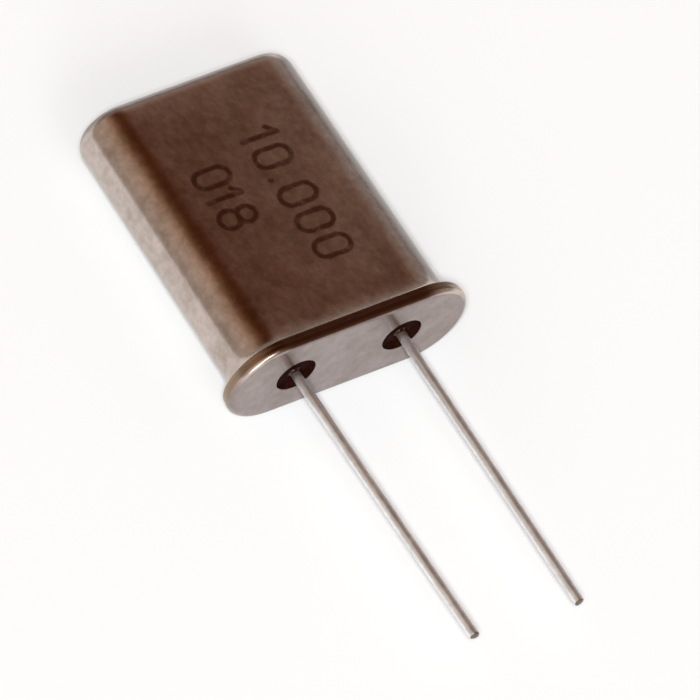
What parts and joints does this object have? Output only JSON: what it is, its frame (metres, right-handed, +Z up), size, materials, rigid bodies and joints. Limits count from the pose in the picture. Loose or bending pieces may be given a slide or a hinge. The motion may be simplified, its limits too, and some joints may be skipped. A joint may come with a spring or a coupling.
{
  "type": "crystal oscillator",
  "caption": "Quartz crystal unit: a quartz plate sealed in a flanged flat metal can with round ends, with straight wire leads through glass seals, that sets a circuit's frequency.",
  "frame": {"origin": "centre of the base's outer face, where the unit seats on a circuit board", "axes": "+Y from the leads towards the closed end of the can, +X along the width and the lead pitch, +Z up through the marked broad side; the unit lies on its unmarked broad side"},
  "size_m": [0.011, 0.0267, 0.0044],
  "materials": {
    "can_metal": "satin drawn nickel silver, slightly tarnished",
    "base_metal": "satin nickel plate",
    "seal_glass": "smooth dark glass",
    "lead_metal": "dull tinned wire",
    "clip_metal": "plain rolled ribbon",
    "quartz": "lapped, faintly frosted",
    "electrode_silver": "evaporated silver, satin",
    "adhesive": "cured silver-filled adhesive"
  },
  "bodies": {
    "root": {"can": "can_metal", "base_plate": "base_metal", "glass_bead_left": "seal_glass", "glass_bead_right": "seal_glass", "lead_left": "lead_metal", "lead_right": "lead_metal", "mounting_clip_left": "clip_metal", "mounting_clip_right": "clip_metal", "quartz_blank": "quartz", "electrode_front": "electrode_silver", "electrode_back": "electrode_silver", "adhesive_left": "adhesive", "adhesive_right": "adhesive"}
  },
  "joints": []
}
